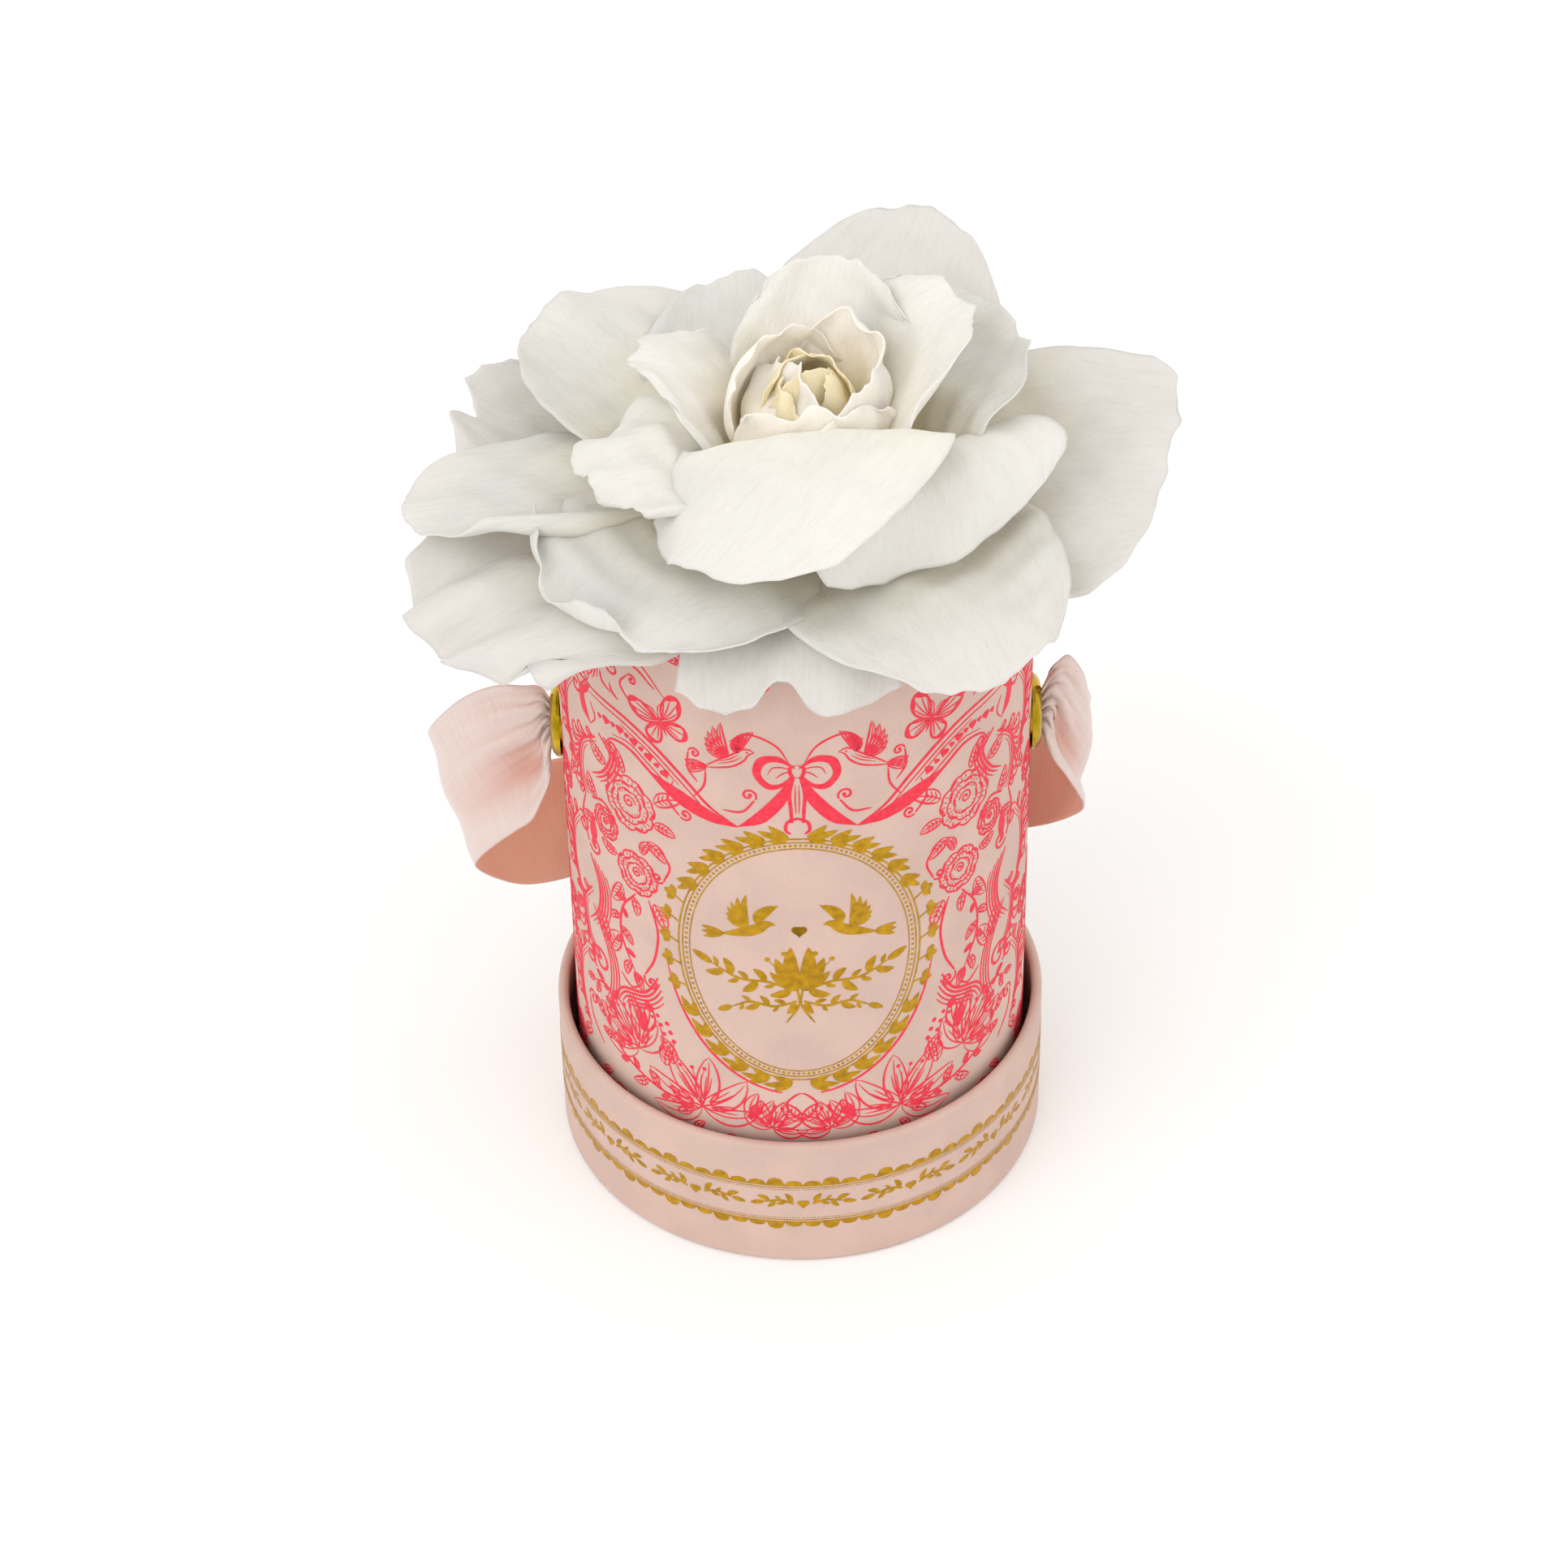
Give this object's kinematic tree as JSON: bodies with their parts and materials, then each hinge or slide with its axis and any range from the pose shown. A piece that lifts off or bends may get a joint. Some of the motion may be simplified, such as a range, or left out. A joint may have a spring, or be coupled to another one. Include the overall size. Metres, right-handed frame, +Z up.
{
  "type": "flower box",
  "caption": "Round wrapped-board flower box standing in its own upturned lid, with a ribbon handle through eyelets and one large open bloom held by its stem in floral foam.",
  "frame": {"origin": "centre of the underside of the upturned lid, on the surface that it stands on", "axes": "+Z up along the axis of the tube, -Y the decorated front, +X to the right, through the two eyelets"},
  "size_m": [0.1372, 0.1129, 0.1711],
  "materials": {
    "greyboard": "matte",
    "lining_paper": "matte",
    "blush_paper": "matte",
    "brass": "polished",
    "satin_ribbon": "satin",
    "floral_foam": "matte",
    "stem": "matte",
    "calyx": "matte",
    "outer_petals": "matte",
    "middle_petals": "matte",
    "heart_petals": "matte"
  },
  "bodies": {
    "lid": {"lid_board_disc": "greyboard", "lid_board_ring": "greyboard", "lid_cover_disc": "blush_paper", "lid_lining_disc": "lining_paper", "lid_lining_ring": "lining_paper", "lid_side_wrap": "blush_paper"},
    "handle": {"ribbon_handle": "satin_ribbon", "ribbon_knot_left": "satin_ribbon", "ribbon_knot_right": "satin_ribbon"},
    "flower": {"core_petal_1": "heart_petals", "core_petal_2": "heart_petals", "core_petal_3": "heart_petals", "core_petal_4": "heart_petals", "flower_calyx": "calyx", "flower_stem": "stem", "guard_petal_1": "outer_petals", "guard_petal_2": "outer_petals", "guard_petal_3": "outer_petals", "guard_petal_4": "outer_petals", "guard_petal_5": "outer_petals", "heart_petal_1": "heart_petals", "heart_petal_2": "heart_petals", "heart_petal_3": "heart_petals", "inner_petal_1": "heart_petals", "inner_petal_2": "heart_petals", "inner_petal_3": "heart_petals", "inner_petal_4": "heart_petals", "inner_petal_5": "heart_petals", "middle_petal_1": "middle_petals", "middle_petal_2": "middle_petals", "middle_petal_3": "middle_petals", "middle_petal_4": "middle_petals", "middle_petal_5": "middle_petals", "middle_petal_6": "middle_petals", "outer_petal_1": "outer_petals", "outer_petal_2": "outer_petals", "outer_petal_3": "outer_petals", "outer_petal_4": "outer_petals", "outer_petal_5": "outer_petals", "outer_petal_6": "outer_petals"},
    "box": {"base_board_disc": "greyboard", "base_lining_disc": "lining_paper", "base_paper_disc": "blush_paper", "eyelet_left": "brass", "eyelet_right": "brass", "eyelet_washer_left": "brass", "eyelet_washer_right": "brass", "foam_block": "floral_foam", "tube_board": "greyboard", "tube_lining": "lining_paper", "tube_wrap": "blush_paper"}
  },
  "joints": [
    {"name": "box_lift", "type": "slide", "parent": "lid", "child": "box", "axis": [0, 0, 1], "range_m": [0, 0.04]},
    {"name": "flower_lift", "type": "slide", "parent": "box", "child": "flower", "axis": [0, 0, 1], "range_m": [0, 0.1]},
    {"name": "handle_swing", "type": "hinge", "parent": "box", "child": "handle", "pos_m": [0, 0, 0.0947], "axis": [1, 0, 0], "range_deg": [0, 55]}
  ]
}
